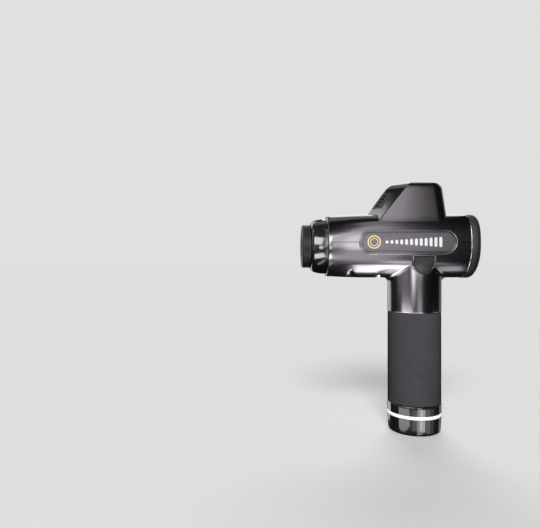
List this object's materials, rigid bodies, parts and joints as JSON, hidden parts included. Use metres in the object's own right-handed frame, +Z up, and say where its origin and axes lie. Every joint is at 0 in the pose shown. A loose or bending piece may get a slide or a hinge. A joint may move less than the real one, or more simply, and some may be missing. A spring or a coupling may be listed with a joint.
{
  "type": "massage gun",
  "caption": "Cordless percussion massage gun with a barrel body, a motor hump, a ringed nose and an upright battery handle.",
  "frame": {"origin": "centre of the flat base of the handle, which the gun stands on", "axes": "+Z up the handle, -X towards the nose, +X towards the display, Y across the gun"},
  "size_m": [0.1618, 0.0616, 0.235],
  "materials": {
    "gunmetal_paint": "satin gunmetal paint on a light alloy casting",
    "satin_black": "fine-grained satin black moulding",
    "gloss_black": "polished black",
    "grip_foam": "matte textured grip",
    "led_white": "translucent white light ring",
    "silver_trim": "bright silver",
    "dark_rubber": "matte dark rubber",
    "machined_steel": "turned and ground",
    "machined_aluminium": "turned and hard anodised",
    "cast_aluminium": "as cast, machined bores",
    "bronze": "sintered bronze",
    "copper_windings": "enamelled copper on steel laminations",
    "circuit_board": "green solder mask",
    "cell_wrap": null,
    "natural_plastic": "natural nylon"
  },
  "bodies": {
    "housing": {"upper_shell": "gunmetal_paint", "lower_shell": "gunmetal_paint", "shell_screw_1": "machined_steel", "shell_screw_2": "machined_steel", "shell_screw_3": "machined_steel", "shell_screw_4": "machined_steel", "vent_panel": "satin_black", "left_badge": "gunmetal_paint", "right_badge": "gunmetal_paint", "left_neck_plug": "satin_black", "right_neck_plug": "satin_black", "nose_collar": "gloss_black", "nose_ring": "dark_rubber", "nose_seal": "dark_rubber", "rear_trim_ring": "silver_trim", "rear_cap": "satin_black", "display_lens": "gloss_black", "display_board": "circuit_board", "control_board": "circuit_board", "neck_contact_block": "natural_plastic", "drive_frame": "cast_aluminium", "guide_cylinder": "cast_aluminium", "guide_bushing": "bronze", "motor_stator": "copper_windings", "lower_motor_bearing": "machined_steel", "upper_motor_bearing": "machined_steel"},
    "crank": {"rotor_can": "machined_steel", "motor_shaft": "machined_steel", "crank_wheel": "machined_steel", "crank_pin": "machined_steel"},
    "piston": {"plunger": "machined_steel", "socket_ring": "dark_rubber", "wrist_pin": "machined_steel"},
    "rod": {"connecting_rod": "cast_aluminium", "big_end_bearing": "machined_steel"},
    "battery_handle": {"handle_tube": "satin_black", "grip_sleeve": "grip_foam", "handle_band": "gloss_black", "led_ring": "led_white", "base_cap": "gloss_black", "charging_jack": "satin_black", "battery_board": "circuit_board", "battery_cap": "natural_plastic", "battery_cell_1": "cell_wrap", "battery_cell_2": "cell_wrap", "battery_cell_3": "cell_wrap", "battery_cell_4": "cell_wrap", "battery_cell_5": "cell_wrap", "battery_cell_6": "cell_wrap"},
    "power_key": {"power_button": "dark_rubber"},
    "minus_key": {"minus_button": "dark_rubber"},
    "plus_key": {"plus_button": "dark_rubber"}
  },
  "joints": [
    {"name": "crank_spin", "type": "hinge", "parent": "housing", "child": "crank", "pos_m": [0, 0, 0.175], "axis": [0, 0, 1], "range_deg": [-90, 90]},
    {"name": "plunger_stroke", "type": "slide", "parent": "housing", "child": "piston", "axis": [-1, 0, 0], "range_m": [-0.006, 0.006]},
    {"name": "rod_swing", "type": "hinge", "parent": "piston", "child": "rod", "pos_m": [-0.045, 0, 0.175], "axis": [0, 0, 1], "range_deg": [-15.2, 0]},
    {"name": "battery_slide", "type": "slide", "parent": "housing", "child": "battery_handle", "axis": [0, 0, -1], "range_m": [0, 0.04]},
    {"name": "power_press", "type": "slide", "parent": "housing", "child": "power_key", "axis": [-1, 0, 0], "range_m": [0, 0.0008], "stiffness_N_per_m": 700},
    {"name": "minus_press", "type": "slide", "parent": "housing", "child": "minus_key", "axis": [-1, 0, 0], "range_m": [0, 0.0008], "stiffness_N_per_m": 700},
    {"name": "plus_press", "type": "slide", "parent": "housing", "child": "plus_key", "axis": [-1, 0, 0], "range_m": [0, 0.0008], "stiffness_N_per_m": 700}
  ],
  "couplings": [
    {"joint": "crank_spin", "follows": "plunger_stroke", "rad_per_m": 261.7}
  ]
}
